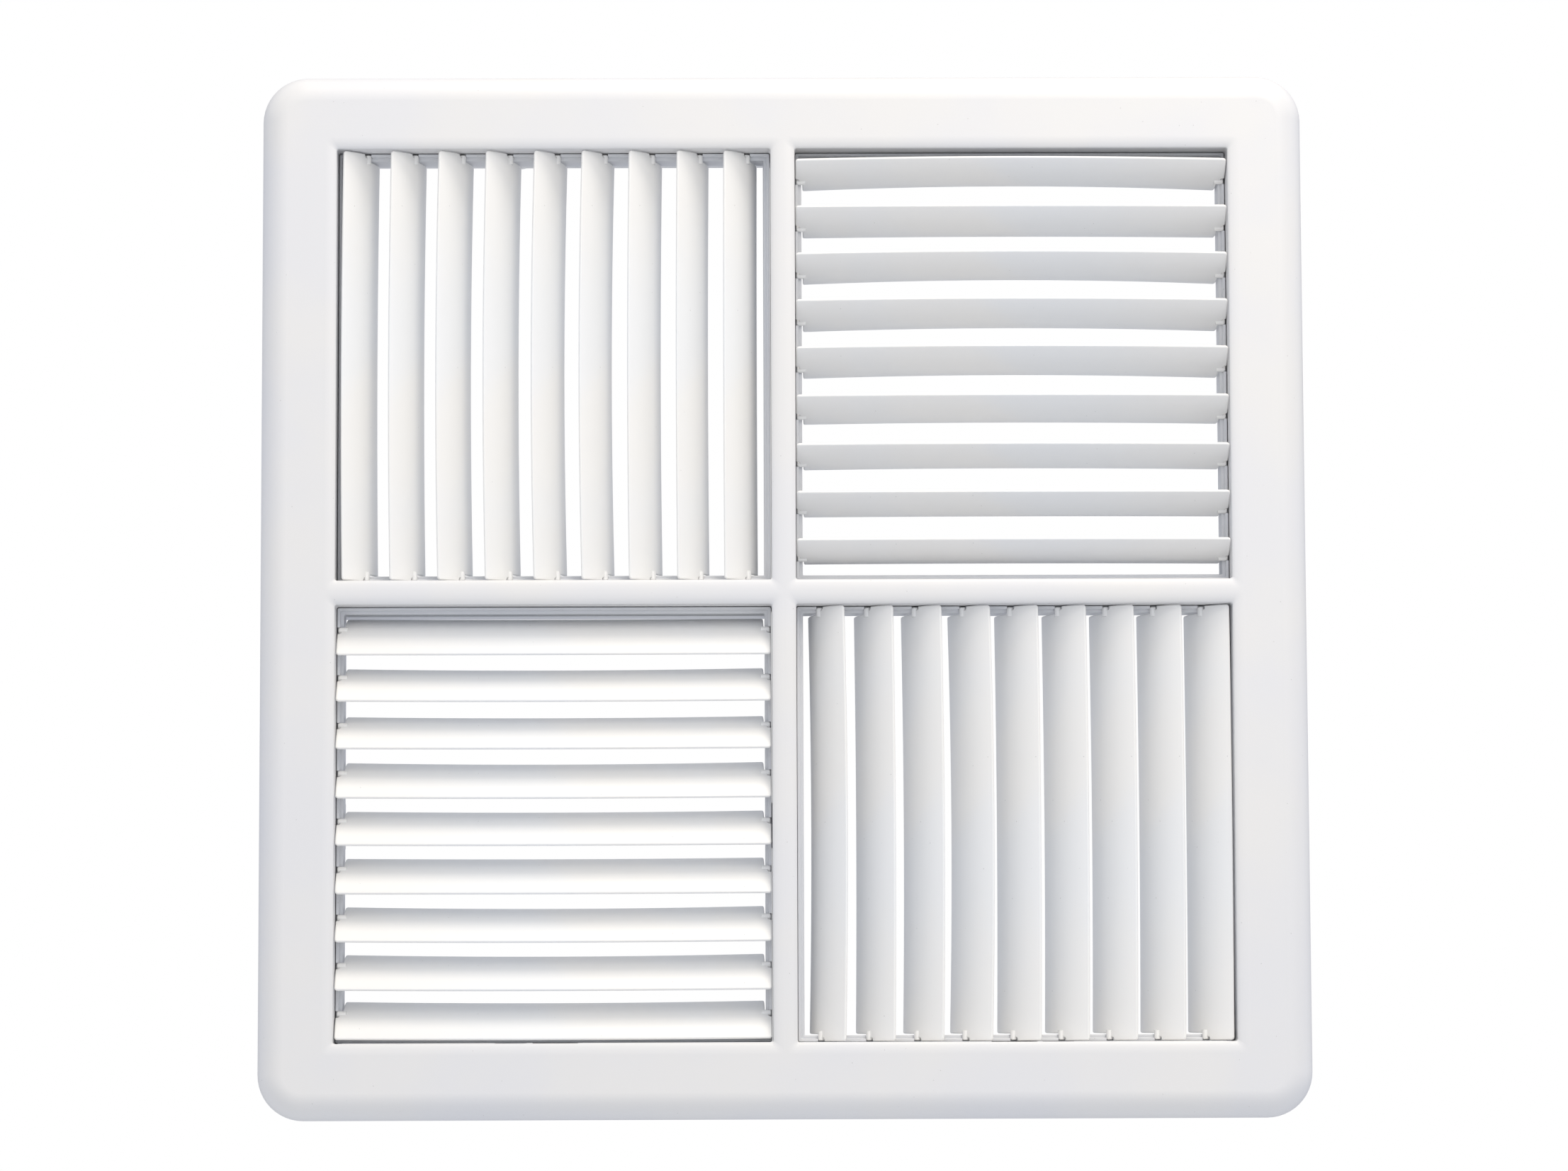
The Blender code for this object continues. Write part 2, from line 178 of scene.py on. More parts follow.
@dataclass(frozen=True)
class MouldedAbs:
    """White ABS, injection moulded in a fine spark-eroded tool.

    The eye sees an even satin white: slow clouds of slightly warmer and cooler white where the
    melt has flowed, a fine grain that breaks up the soft highlight, and a few faint dust specks.
    """

    name: str
    warm: str
    cool: str
    speck: str = "#b9b8b6"
    roughness: float = 0.42
    roughness_swing: float = 0.06
    flow: float = 70 * MM
    cloud_range: tuple[float, float] = (0.35, 0.65)
    satin_range: tuple[float, float] = (0.3, 0.7)
    # The real grain is about 0.08 mm. It is drawn 0.9 mm coarse so that it shows.
    grain: float = 0.9 * MM
    grain_height: float = 0.02 * MM
    speck_pitch: float = 7 * MM
    speck_size: float = 0.045
    speck_strength: float = 0.5
    ior: float = 1.54

    def build(self) -> bpy.types.Material:
        """Return the material."""
        material, shader, place = blank_material(self.name)
        tree = material.node_tree
        flow = add_node(tree, "ShaderNodeTexNoise", {"Scale": 1 / self.flow, "Detail": 3.0},
                        {"Vector": place})
        cloud = add_node(tree, "ShaderNodeMapRange",
                         {"From Min": self.cloud_range[0], "From Max": self.cloud_range[1]},
                         {"Value": flow.outputs["Fac"]}, interpolation_type="SMOOTHSTEP")
        tint = add_node(tree, "ShaderNodeMix", {6: linear(self.warm), 7: linear(self.cool)},
                        {0: cloud.outputs["Result"]}, data_type="RGBA")
        dots = add_node(tree, "ShaderNodeTexVoronoi", {"Scale": 1 / self.speck_pitch},
                        {"Vector": place})
        specks = add_node(tree, "ShaderNodeMapRange",
                          {"From Min": self.speck_size, "From Max": self.speck_size / 2,
                           "To Max": self.speck_strength},
                          {"Value": dots.outputs["Distance"]}, interpolation_type="SMOOTHSTEP")
        colour = add_node(tree, "ShaderNodeMix", {7: linear(self.speck)},
                          {0: specks.outputs["Result"], 6: tint.outputs[2]}, data_type="RGBA")
        satin = add_node(tree, "ShaderNodeMapRange",
                         {"From Min": self.satin_range[0], "From Max": self.satin_range[1],
                          "To Min": self.roughness - self.roughness_swing,
                          "To Max": self.roughness + self.roughness_swing},
                         {"Value": flow.outputs["Fac"]})
        grain = add_node(tree, "ShaderNodeTexNoise",
                         {"Scale": 1 / self.grain, "Detail": 4.0, "Roughness": 0.6},
                         {"Vector": place})
        bump = add_node(tree, "ShaderNodeBump", {"Strength": 1.0, "Distance": self.grain_height},
                        {"Height": grain.outputs["Fac"]})
        tree.links.new(colour.outputs[2], shader.inputs["Base Color"])
        tree.links.new(satin.outputs["Result"], shader.inputs["Roughness"])
        tree.links.new(bump.outputs["Normal"], shader.inputs["Normal"])
        shader.inputs["IOR"].default_value = self.ior
        return material


@dataclass(frozen=True)
class ZincPlate:
    """Bright zinc plate on cold-headed steel.

    The eye sees a cool silver grey with faint blue and straw clouds from the passivation, and
    fine turning marks round the shank.
    """

    name: str = "zinc_plated_steel"
    blue: str = "#c3c9cf"
    straw: str = "#d0cdc2"
    smoothest: float = 0.22
    roughest: float = 0.42
    cloud: float = 3 * MM
    # Rolling marks are about 0.05 mm apart. They are drawn at 0.3 mm so that they show.
    mark: float = 0.3 * MM
    mark_height: float = 0.01 * MM

    def build(self) -> bpy.types.Material:
        """Return the material."""
        material, shader, place = blank_material(self.name)
        tree = material.node_tree
        cloud = add_node(tree, "ShaderNodeTexNoise", {"Scale": 1 / self.cloud, "Detail": 3.0},
                         {"Vector": place})
        tint = add_node(tree, "ShaderNodeMix",
                        {6: linear(self.blue), 7: linear(self.straw)},
                        {0: cloud.outputs["Fac"]}, data_type="RGBA")
        satin = add_node(tree, "ShaderNodeMapRange",
                         {"To Min": self.smoothest, "To Max": self.roughest},
                         {"Value": cloud.outputs["Fac"]})
        marks = add_node(tree, "ShaderNodeTexNoise", {"Scale": 1 / self.mark, "Detail": 2.0},
                         {"Vector": place})
        bump = add_node(tree, "ShaderNodeBump", {"Strength": 0.6, "Distance": self.mark_height},
                        {"Height": marks.outputs["Fac"]})
        tree.links.new(tint.outputs[2], shader.inputs["Base Color"])
        tree.links.new(satin.outputs["Result"], shader.inputs["Roughness"])
        tree.links.new(bump.outputs["Normal"], shader.inputs["Normal"])
        shader.inputs["Metallic"].default_value = 1.0
        return material


@dataclass(frozen=True)
class ClosedCellFoam:
    """Dark grey polyethylene foam strip, closed cell, cut with a knife.

    The eye sees a matt, dark, finely pitted surface with cells of slightly different greys, each
    darker towards its pit as painted shade.
    """

    name: str = "grey_pe_foam"
    wall: str = "#5a5c60"
    hollow: str = "#303236"
    roughness: float = 0.95
    # The cells are about 0.5 mm across. They are drawn at 1.2 mm so that they show.
    cell: float = 1.2 * MM
    cell_depth: float = 0.25 * MM
    mottle: float = 12 * MM
    cell_share: float = 0.35
    shade_range: tuple[float, float] = (0.35, 0.85)
    ior: float = 1.45

    def build(self) -> bpy.types.Material:
        """Return the material."""
        material, shader, place = blank_material(self.name)
        tree = material.node_tree
        cells = add_node(tree, "ShaderNodeTexVoronoi", {"Scale": 1 / self.cell},
                         {"Vector": place}, feature="SMOOTH_F1")
        mottle = add_node(tree, "ShaderNodeTexNoise", {"Scale": 1 / self.mottle, "Detail": 2.0},
                          {"Vector": place})
        # Painted shade: the grey darkens towards each cell's pit (the pits of the bump), by this
        # share, added to the random mottle.
        blend = add_node(tree, "ShaderNodeMath", {1: self.cell_share},
                         {0: cells.outputs["Distance"], 2: mottle.outputs["Fac"]},
                         operation="MULTIPLY_ADD")
        shade = add_node(tree, "ShaderNodeMapRange",
                         {"From Min": self.shade_range[0], "From Max": self.shade_range[1]},
                         {"Value": blend.outputs["Value"]})
        tint = add_node(tree, "ShaderNodeMix",
                        {6: linear(self.hollow), 7: linear(self.wall)},
                        {0: shade.outputs["Result"]}, data_type="RGBA")
        bump = add_node(tree, "ShaderNodeBump", {"Strength": 0.9, "Distance": self.cell_depth},
                        {"Height": cells.outputs["Distance"]})
        tree.links.new(tint.outputs[2], shader.inputs["Base Color"])
        tree.links.new(bump.outputs["Normal"], shader.inputs["Normal"])
        shader.inputs["Roughness"].default_value = self.roughness
        shader.inputs["IOR"].default_value = self.ior
        return material


# ---------------------------------------------------------------- mesh tools

def finish_mesh(name: str, work: bmesh.types.BMesh) -> bpy.types.Mesh:
    """Turn bmesh work into a mesh with its faces pointing out.

    Args:
        name: The mesh's name.
        work: The bmesh, which is freed.

    Returns:
        The mesh.
    """
    bmesh.ops.recalc_face_normals(work, faces=work.faces)
    mesh = bpy.data.meshes.new(name)
    work.to_mesh(mesh)
    work.free()
    return mesh


def rounded_square(work: bmesh.types.BMesh, half: float, corner: float, height: float,
                   steps: int = 6, centre: Sequence[float] = (0, 0)) -> list[bmesh.types.BMVert]:
    """Add the vertices of one level square with rounded corners.

    Args:
        work: The bmesh that gets the vertices.
        half: Half the width of the square.
        corner: The corner radius.
        height: Its z.
        steps: Segments in each corner.
        centre: The middle of the square.

    Returns:
        The vertices in order.
    """
    ring = []
    for quarter in range(4):
        turn = quarter * pi / 2
        middle = Matrix.Rotation(turn, 2) @ Vector((half - corner, half - corner))
        for step in range(steps + 1):
            angle = turn + step * pi / 2 / steps
            ring.append(work.verts.new((centre[0] + middle.x + corner * cos(angle),
                                        centre[1] + middle.y + corner * sin(angle), height)))
    return ring


def loft(work: bmesh.types.BMesh, rings: Sequence[Sequence[bmesh.types.BMVert]],
         closed: bool = False) -> None:
    """Join each ring to the next with quads, and cap both ends unless the loft is closed.

    Args:
        work: The bmesh that gets the faces.
        rings: Rings with the same number of vertices.
        closed: Whether the last ring joins the first.
    """
    pairs = list(zip(rings, rings[1:]))
    if closed:
        pairs.append((rings[-1], rings[0]))
    for low, high in pairs:
        for here in range(len(low)):
            after = (here + 1) % len(low)
            work.faces.new((low[here], low[after], high[after], high[here]))
    if not closed:
        work.faces.new(rings[0])
        work.faces.new(rings[-1])


def filleted(corners: Sequence[tuple[float, float, float]], steps: int = 5) -> list[Vector]:
    """Round the corners of a closed flat outline.

    Args:
        corners: Each corner's two coordinates and its radius.
        steps: Segments in each rounded corner.

    Returns:
        The points of the rounded outline in order.
    """
    points = []
    count = len(corners)
    for number, (x, y, radius) in enumerate(corners):
        here = Vector((x, y))
        before = (Vector(corners[number - 1][:2]) - here).normalized()
        after = (Vector(corners[(number + 1) % count][:2]) - here).normalized()
        half_angle = before.angle(after) / 2
        if radius <= 0:
            points.append(here)
            continue
        reach = radius / abs(sin(half_angle) / cos(half_angle))
        middle = here + (before + after).normalized() * radius / sin(half_angle)
        start = here + before * reach - middle
        end = here + after * reach - middle
        for step in range(steps + 1):
            points.append(middle + start.slerp(end, step / steps).normalized() * radius)
    return points


def box_mesh(low: Sequence[float], high: Sequence[float]) -> bpy.types.Mesh:
    """Return a box between two corners.

    Args:
        low: The lowest corner.
        high: The highest corner.

    Returns:
        The mesh.
    """
    work = bmesh.new()
    corners = ((low[0], low[1]), (high[0], low[1]), (high[0], high[1]), (low[0], high[1]))
    loft(work, [[work.verts.new((x, y, height)) for x, y in corners]
                for height in (low[2], high[2])])
    return finish_mesh("box", work)


def turned_mesh(profile: Sequence[Level], steps: int = 24) -> bpy.types.Mesh:
    """Spin a profile about X into a closed body.

    Args:
        profile: (radius, distance along X) points, from the axis back to the axis.
        steps: Segments round the axis.

    Returns:
        The mesh.
    """
    work = bmesh.new()
    rings = []
    for radius, along in profile:
        turns = [0.0] if radius == 0 else [tau * step / steps for step in range(steps)]
        rings.append([work.verts.new((along, radius * cos(turn), radius * sin(turn)))
                      for turn in turns])
    for first, second in zip(rings, rings[1:]):
        for here in range(steps):
            after = (here + 1) % steps
            corners = [first[here % len(first)], first[after % len(first)],
                       second[after % len(second)], second[here % len(second)]]
            work.faces.new(list(dict.fromkeys(corners)))
    return finish_mesh("turned", work)


class Carving:
    """A solid, and the shapes that are joined to it or cut from it."""

    def __init__(self, mesh: bpy.types.Mesh) -> None:
        """Start from one closed mesh."""
        self.mesh = mesh

    def _bake(self, item: bpy.types.Object) -> None:
        """Take the mesh that the object's modifiers make, and remove the object."""
        graph = bpy.context.evaluated_depsgraph_get()
        self.mesh = bpy.data.meshes.new_from_object(item.evaluated_get(graph))
        bpy.data.objects.remove(item)

    def _start(self) -> bpy.types.Object:
        """Link the solid as an object that modifiers can work on."""
        item = bpy.data.objects.new("carving", self.mesh)
        bpy.context.scene.collection.objects.link(item)
        return item

    def carve(self, operation: Carve, shapes: Sequence[bpy.types.Mesh]) -> None:
        """Join or cut closed meshes.

        Args:
            operation: What to do with the shapes.
            shapes: Closed meshes, which may overlap each other.
        """
        item = self._start()
        group = bpy.data.collections.new("shapes")
        bpy.context.scene.collection.children.link(group)
        for mesh in shapes:
            group.objects.link(bpy.data.objects.new("shape", mesh))
        modifier = item.modifiers.new("carve", "BOOLEAN")
        modifier.operation = operation.value
        modifier.operand_type = "COLLECTION"
        modifier.collection = group
        modifier.solver = "EXACT"
        self._bake(item)
        for shape in list(group.objects):
            bpy.data.objects.remove(shape)
        bpy.data.collections.remove(group)

    def soften(self, width: float, segments: int = 2) -> None:
        """Round every sharp edge a little, as a moulding tool does.

        Args:
            width: How far each edge is cut back.
            segments: Faces across each rounded edge.
        """
        item = self._start()
        modifier = item.modifiers.new("soften", "BEVEL")
        modifier.width = width
        modifier.segments = segments
        modifier.limit_method = "ANGLE"
        modifier.angle_limit = MOULDED_EDGE_ANGLE
        modifier.use_clamp_overlap = True
        modifier.miter_outer = "MITER_ARC"
        self._bake(item)


def show(name: str, mesh: bpy.types.Mesh, material: bpy.types.Material, body: str,
         place: Matrix) -> bpy.types.Object:
    """Show a mesh as the finished piece that replaces one CAD node.

    Args:
        name: The CAD node that the piece replaces. The piece is named after it.
        mesh: The piece's mesh, in its own coordinates.
        material: Its finish.
        body: The CAD body that it rides on.
        place: Where it stands in the part.

    Returns:
        The piece.
    """
    mesh.materials.clear()
    mesh.materials.append(material)
    mesh.shade_smooth()
    mesh.set_sharp_from_angle(angle=SHARP_ANGLE)
    piece = bpy.data.objects.new(f"{name}_finish", mesh)
    bpy.context.scene.collection.objects.link(piece)
    piece.matrix_world = place
    weighted = piece.modifiers.new("even_shading", "WEIGHTED_NORMAL")
    weighted.keep_sharp = True
    weighted.weight = LARGE_FACE_WEIGHT
    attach(piece, body)
    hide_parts(name)
    log.info("%s: %d faces on %s", piece.name, len(mesh.polygons), body)
    return piece


# ---------------------------------------------------------------- sub-assemblies

@dataclass(frozen=True)
class Envelope:
    """Sizes that the sub-assemblies share."""

    flange_half: float
    face_z: float
    collar_top: float
    core_offset: float = 101 * MM
    opening_half: float = 95.65 * MM
    skin: float = 2.5 * MM
    gap: float = 0.3 * MM
    corner: float = 1.0 * MM

    @classmethod
    def from_frame(cls) -> "Envelope":
        """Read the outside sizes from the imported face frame."""
        low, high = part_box("face_frame")
        return cls(flange_half=high.x, face_z=low.z, collar_top=high.z)

    @property
    def collar_inner(self) -> float:
        """Half the collar's inside width."""
        return self.core_offset + self.opening_half

    @property
    def collar_outer(self) -> float:
        """Half the collar's outside width."""
        return self.collar_inner + self.skin


@dataclass
class FaceFrame:
    """The flange, crowned cross bars, openings and neck collar in one moulding."""

    size: Envelope
    rim_radius: float = 12 * MM
    rim_steps: int = 16
    flange_corner: float = 20 * MM
    flange_steps: int = 12
    collar_corner: float = 3 * MM
    lip_width: float = 5.2 * MM
    lip_depth: float = 1.8 * MM
    lip_steps: int = 12
    lip_corner_growth: float = 0.35
    well_steps: int = 6
    bar_wall: float = 2 * MM
    bar_top: float = 19 * MM
    web: float = 1.5 * MM
    web_places: tuple[float, ...] = (6 * MM, 68 * MM, 132 * MM)
    rib_places: tuple[float, ...] = tuple(x * MM for x in (-180, -108, -36, 36, 108, 180))
    rib_top: float = -3 * MM
    seal_outer: float = 212.8 * MM
    seal_corner: float = 4 * MM
    seal_steps: int = 8
    stop_depth: float = 3 * MM
    stop_width: float = 20 * MM
    stop_thickness: float = 2 * MM
    stop_z: float = 15.8 * MM
    pad_radius: float = 7 * MM
    pad_proud: float = 1.2 * MM
    hole_head: float = 4.3 * MM
    hole_shank: float = 2.2 * MM
    hole_cone: float = 2.2 * MM
    pad_steps: int = 40
    hole_steps: int = 32
    softened: float = 0.35 * MM

    def rim_arc(self, radius: float) -> list[Level]:
        """Return (half width, z) points from the back plane round the rim to the face.

        Args:
            radius: The arc's radius, shorter on the inside of the skin.

        Returns:
            The points in order.
        """
        middle_x = self.size.flange_half - self.rim_radius
        middle_z = self.size.face_z + self.rim_radius
        turns = [step * pi / 2 / self.rim_steps for step in range(self.rim_steps + 1)]
        return [(middle_x + radius * cos(turn), middle_z - radius * sin(turn)) for turn in turns]

    def blank(self) -> bpy.types.Mesh:
        """The flange as a hollow-backed pan, with a solid neck block in the collar."""
        work = bmesh.new()
        size = self.size
        outside = [(size.flange_half, 0.0)] + self.rim_arc(self.rim_radius)
        inside = [(size.flange_half - size.skin, 0.0)] + self.rim_arc(self.rim_radius - size.skin)
        centre = size.flange_half - self.flange_corner
        rings = [rounded_square(work, half, half - centre, z, self.flange_steps)
                 for half, z in list(reversed(outside)) + inside]
        for height in (size.face_z + size.skin, size.collar_top):
            rings.append(rounded_square(work, size.collar_outer, self.collar_corner, height,
                                        self.flange_steps))
        loft(work, rings)
        return finish_mesh("face_frame", work)

    def back_rib(self, place: float, quarter: int) -> bpy.types.Mesh:
        """Return one upright rib from the collar to the rim.

        Args:
            place: Where the rib stands along the side.
            quarter: Which side, in quarter turns.

        Returns:
            The mesh.
        """
        work = bmesh.new()
        size = self.size
        root = size.collar_outer - OVERLAP
        outline = [(root, size.face_z + size.skin / 2)]
        outline += list(reversed(self.rim_arc(self.rim_radius - size.skin / 2)))
        outline = [(x, z) for x, z in outline if z < self.rib_top]
        outline += [(outline[-1][0], self.rib_top), (root, self.rib_top)]
        sides = [[work.verts.new((x, place + side, z)) for x, z in outline]
                 for side in (-self.web / 2, self.web / 2)]
        loft(work, sides)
        work.transform(Matrix.Rotation(quarter * pi / 2, 4, "Z"))
        return finish_mesh("back_rib", work)

    def seal_wall(self) -> bpy.types.Mesh:
        """The low wall that locates the foam strip round the collar."""
        work = bmesh.new()
        low = self.size.face_z + self.size.skin / 2
        high = self.rib_top + self.web
        levels = ((self.seal_outer, low), (self.seal_outer, high),
                  (self.seal_outer + self.web, high), (self.seal_outer + self.web, low))
        loft(work, [rounded_square(work, half, self.seal_corner, z, self.seal_steps)
                    for half, z in levels], closed=True)
        return finish_mesh("seal_wall", work)

    def opening(self, core: Core) -> bpy.types.Mesh:
        """Return the cutter for one square well with its crowned lip.

        Args:
            core: The core that sits in the opening.

        Returns:
            The mesh.
        """
        work = bmesh.new()
        size = self.size
        levels = [(size.opening_half + self.lip_width, size.face_z - CLEAR)]
        for step in range(self.lip_steps + 1):
            turn = step * pi / 2 / self.lip_steps
            levels.append((size.opening_half + self.lip_width * (1 - sin(turn)),
                           size.face_z + self.lip_depth * (1 - cos(turn))))
        levels.append((size.opening_half, size.collar_top + CLEAR))
        centre = core.centre(size.core_offset)
        rings = [rounded_square(
            work, half, size.corner + (half - size.opening_half) * self.lip_corner_growth, z,
            self.well_steps, (centre.x, centre.y)) for half, z in levels]
        loft(work, rings)
        return finish_mesh("opening", work)

    def bar_hollows(self) -> list[bpy.types.Mesh]:
        """The hollows in the back of the cross bars, between their webs."""
        hollows = []
        size = self.size
        half = size.core_offset - size.opening_half - self.bar_wall
        ends = list(self.web_places[1:]) + [size.collar_inner]
        for quarter in range(4):
            for start, end in zip(self.web_places, ends):
                mesh = box_mesh((start + self.web / 2, -half, size.face_z + size.skin),
                                (end - self.web / 2, half, size.collar_top + CLEAR))
                mesh.transform(Matrix.Rotation(quarter * pi / 2, 4, "Z"))
                hollows.append(mesh)
        return hollows

    def core_stops(self) -> list[bpy.types.Mesh]:
        """A ledge on each opening wall but the one beside the core's far wall."""
        stops = []
        size = self.size
        for core in Core:
            for side in range(1, 4):
                mesh = box_mesh(
                    (size.opening_half - self.stop_depth, -self.stop_width / 2, self.stop_z),
                    (size.opening_half + self.bar_wall / 2, self.stop_width / 2,
                     self.stop_z + self.stop_thickness))
                mesh.transform(Matrix.Translation(core.centre(size.core_offset)) @ core.turn
                               @ Matrix.Rotation(side * pi / 2, 4, "Z"))
                stops.append(mesh)
        return stops

    def pads_and_holes(self, places: Sequence[Matrix]) -> tuple[list[bpy.types.Mesh],
                                                                list[bpy.types.Mesh]]:
        """Return the round screw pads and the countersunk holes through them.

        Args:
            places: Each screw's placing, with its X axis out through the collar.

        Returns:
            The pads, and the cutters for the holes.
        """
        root = self.pad_proud + self.size.skin / 2
        gap = self.size.gap
        pads = []
        holes = []
        for place in places:
            pad = turned_mesh(((0, 0), (self.pad_radius, 0), (self.pad_radius, root),
                               (0, root)), self.pad_steps)
            hole = turned_mesh(((0, -CLEAR), (self.hole_head, -CLEAR), (self.hole_head, gap),
                                (self.hole_shank, gap + self.hole_cone),
                                (self.hole_shank, CLEAR), (0, CLEAR)), self.hole_steps)
            pad.transform(place)
            hole.transform(place)
            pads.append(pad)
            holes.append(hole)
        return pads, holes

    def build(self, material: bpy.types.Material, places: Sequence[Matrix]) -> bpy.types.Object:
        """Carve the moulding and show it.

        Args:
            material: Its finish.
            places: The collar screws' placings.

        Returns:
            The piece.
        """
        size = self.size
        work = bmesh.new()
        loft(work, [rounded_square(work, size.collar_inner, size.corner, z, self.well_steps)
                    for z in (self.bar_top, size.collar_top + CLEAR)])
        room = finish_mesh("neck_room", work)
        pads, holes = self.pads_and_holes(places)
        ribs = [self.back_rib(place, quarter) for quarter in range(4)
                for place in self.rib_places]
        carving = Carving(self.blank())
        carving.carve(Carve.JOIN, ribs + [self.seal_wall()])
        carving.carve(Carve.CUT, [self.opening(core) for core in Core] + self.bar_hollows()
                      + [room])
        carving.carve(Carve.JOIN, self.core_stops() + pads)
        carving.carve(Carve.CUT, holes)
        carving.soften(self.softened)
        return show("face_frame", carving.mesh, material, "frame",
                    Matrix.Identity(4))


@dataclass
class CoreFrame:
    """The square ring that slides up into one opening and carries nine blades."""

    size: Envelope
    core: Core
    pins: Sequence[float]
    pin_depth: float = 13.7 * MM
    wall: float = 2.8 * MM
    ledge_depth: float = 12.6 * MM
    depth: float = 29.5 * MM
    far_wall_depth: float = 41.6 * MM
    step_width: float = 1.3 * MM
    step_depth: float = 2.6 * MM
    face_round: float = 0.35 * MM
    back_round: float = 0.4 * MM
    throat_round: float = 0.7 * MM
    ledge_round: float = 0.6 * MM
    step_round: float = 0.2 * MM
    round_steps: int = 4
    far_wall_round: float = 3 * MM
    far_wall_steps: int = 6
    corner_shrink: float = 0.1
    least_corner: float = 0.3 * MM
    corner_steps: int = 5
    slot_radius: float = 1.8 * MM
    slot_steps: int = 28
    softened: float = 0.2 * MM

    def section(self) -> list[Vector]:
        """The wall's section as (half width, z): a stepped ledge, and rounded back edges."""
        outer = self.size.opening_half - self.size.gap
        inner = outer - self.wall
        middle = outer - self.step_width
        low = self.size.face_z + self.ledge_depth
        high = self.size.face_z + self.depth
        return filleted([(outer, low, self.face_round), (outer, high, self.back_round),
                         (inner, high, self.throat_round),
                         (inner, low + self.step_depth, self.ledge_round),
                         (middle, low + self.step_depth, self.step_round),
                         (middle, low, self.face_round)], self.round_steps)

    def far_wall(self) -> bpy.types.Mesh:
        """The deeper wall behind the last blade, which stands up past the ring's back edge."""
        outer = self.size.opening_half - self.size.gap
        low = self.size.face_z + self.depth - OVERLAP
        high = self.size.face_z + self.far_wall_depth
        inner = outer - self.wall
        work = bmesh.new()
        outline = filleted([(-outer, low, 0.0), (outer, low, 0.0),
                            (outer, high, self.far_wall_round),
                            (-outer, high, self.far_wall_round)], self.far_wall_steps)
        loft(work, [[work.verts.new((x, point.x, point.y)) for point in outline]
                    for x in (inner, outer)])
        return finish_mesh("far_wall", work)

    def ring(self) -> bpy.types.Mesh:
        """Return the ring with its far wall, and an open snap slot for every pin."""
        work = bmesh.new()
        outer = self.size.opening_half - self.size.gap
        corner = self.size.corner - self.size.gap / 2
        rings = []
        for point in self.section():
            shrunk = corner - (outer - point.x) * self.corner_shrink
            rings.append(rounded_square(work, point.x, max(shrunk, self.least_corner), point.y,
                                        self.corner_steps))
        loft(work, rings, closed=True)
        carving = Carving(finish_mesh("core_frame", work))
        reach = self.size.opening_half + CLEAR
        slots = []
        for place in self.pins:
            slot = turned_mesh(((0, -reach), (self.slot_radius, -reach),
                                (self.slot_radius, reach), (0, reach)), self.slot_steps)
            slot.transform(Matrix.Translation((place, 0, self.size.face_z + self.pin_depth))
                           @ Matrix.Rotation(pi / 2, 4, "Z"))
            slots.append(slot)
        carving.carve(Carve.JOIN, [self.far_wall()])
        carving.carve(Carve.CUT, slots)
        carving.soften(self.softened, 1)
        return carving.mesh

    def build(self, material: bpy.types.Material) -> bpy.types.Object:
        """Show the ring in its opening."""
        place = Matrix.Translation(self.core.centre(self.size.core_offset)) @ self.core.turn
        return show(f"{self.core.label}_core_frame", self.ring(), material,
                    f"{self.core.label}_core", place)


